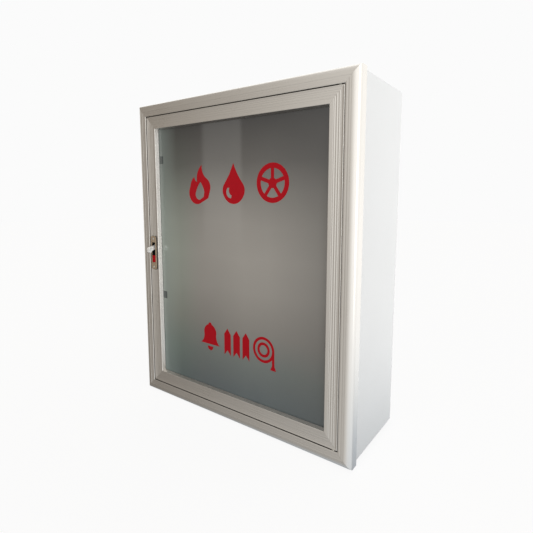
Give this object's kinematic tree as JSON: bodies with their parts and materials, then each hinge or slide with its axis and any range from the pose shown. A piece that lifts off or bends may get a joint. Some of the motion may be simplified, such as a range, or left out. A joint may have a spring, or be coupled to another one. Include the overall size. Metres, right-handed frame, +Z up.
{
  "type": "standpipe cabinet",
  "caption": "Wall-hung steel cabinet with an aluminium front frame and an inset frosted-glass door, holding a landing valve, a rolled hose and a nozzle.",
  "frame": {"origin": "centre of the four wall-fixing holes, in the plane of the cabinet's back", "axes": "+X right as seen from the front, +Y into the wall, +Z up; the door faces -Y"},
  "size_m": [0.65, 0.2588, 0.8],
  "materials": {
    "box_paint": "white powder coat, fine orange peel, satin",
    "frame_aluminium": "satin anodised extrusion",
    "key_aluminium": "raw cast cleat",
    "plated_steel": "bright zinc plate",
    "black_rubber": "matte moulded rubber",
    "nylon": "natural nylon",
    "frosted_glass": "milky translucent toughened pane, glossy front",
    "dark_steel": "black phosphate spring strip",
    "red_vinyl": "gloss self-adhesive vinyl",
    "lock_metal": "satin champagne die casting",
    "lock_black": "black moulded housing",
    "lock_chrome": "chromed die casting",
    "lock_red": "red moulded tab",
    "red_casting": "red enamel on cast iron",
    "wheel_red": "red enamel",
    "valve_brass": "turned brass",
    "fitting_aluminium": "cast and turned alloy",
    "nozzle_brass": "turned brass",
    "hose_fabric": "circular-woven polyester, plain weave",
    "bracket_paint": "white powder coat"
  },
  "bodies": {
    "cabinet": {"body_sheet": "box_paint", "bonnet_bolts": "plated_steel", "bottom_panel": "box_paint", "door_bumpers": "black_rubber", "door_pivot_pins": "plated_steel", "fire_hose": "hose_fabric", "frame_bottom": "frame_aluminium", "frame_corner_keys": "key_aluminium", "frame_left": "frame_aluminium", "frame_right": "frame_aluminium", "frame_screws": "plated_steel", "frame_top": "frame_aluminium", "gland_nut": "valve_brass", "hose_coupling_left": "fitting_aluminium", "hose_coupling_right": "fitting_aluminium", "hose_saddle": "bracket_paint", "inlet_grommet": "black_rubber", "nozzle_body": "fitting_aluminium", "nozzle_clip_screws": "plated_steel", "nozzle_clips": "bracket_paint", "nozzle_coupling": "fitting_aluminium", "nozzle_tip": "nozzle_brass", "outlet_coupling": "fitting_aluminium", "saddle_screws": "plated_steel", "thrust_washer": "plated_steel", "top_panel": "box_paint", "valve_body": "red_casting", "valve_bonnet": "red_casting"},
    "door": {"door_corner_keys": "key_aluminium", "door_rail_bottom": "frame_aluminium", "door_rail_top": "frame_aluminium", "door_stile_left": "frame_aluminium", "door_stile_right": "frame_aluminium", "glass_pane": "frosted_glass", "glass_gasket": "black_rubber", "glass_clips": "dark_steel", "glass_clip_pads": "black_rubber", "glass_clip_screws": "plated_steel", "pivot_bushes": "nylon", "signs_upper": "red_vinyl", "signs_lower": "red_vinyl", "lock_bezel": "lock_metal", "lock_gasket": "black_rubber", "lock_housing": "lock_black", "lock_back_plate": "plated_steel", "lock_screws": "plated_steel", "lock_red_tab": "lock_red", "lock_lever_pin": "plated_steel", "lever_spring": "plated_steel"},
    "lock_lever": {"lock_lever": "lock_chrome"},
    "latch_bolt": {"latch_bolt": "plated_steel"},
    "valve_disc": {"valve_disc": "valve_brass", "disc_seal": "black_rubber"},
    "valve_spindle": {"valve_spindle": "valve_brass", "valve_handwheel": "wheel_red", "handwheel_nut": "plated_steel"}
  },
  "joints": [
    {"name": "door_swing", "type": "hinge", "parent": "cabinet", "child": "door", "pos_m": [0.282, -0.2323, 0], "axis": [0, 0, 1], "range_deg": [0, 120]},
    {"name": "lever_pull", "type": "hinge", "parent": "door", "child": "lock_lever", "pos_m": [-0.277, -0.2325, 0.02], "axis": [-1, 0, 0], "range_deg": [0, 40]},
    {"name": "latch_slide", "type": "slide", "parent": "door", "child": "latch_bolt", "axis": [1, 0, 0], "range_m": [0, 0.0096]},
    {"name": "valve_lift", "type": "slide", "parent": "cabinet", "child": "valve_disc", "axis": [0, 0, 1], "range_m": [0, 0.0201]},
    {"name": "valve_turn", "type": "hinge", "parent": "valve_disc", "child": "valve_spindle", "pos_m": [0.19, -0.105, -0.2], "axis": [0, 0, 1], "range_deg": [0, 1440]}
  ],
  "couplings": [
    {"joint": "latch_slide", "follows": "lever_pull", "m_per_rad": 0.0136},
    {"joint": "valve_lift", "follows": "valve_turn", "m_per_rad": 0.00079577}
  ]
}
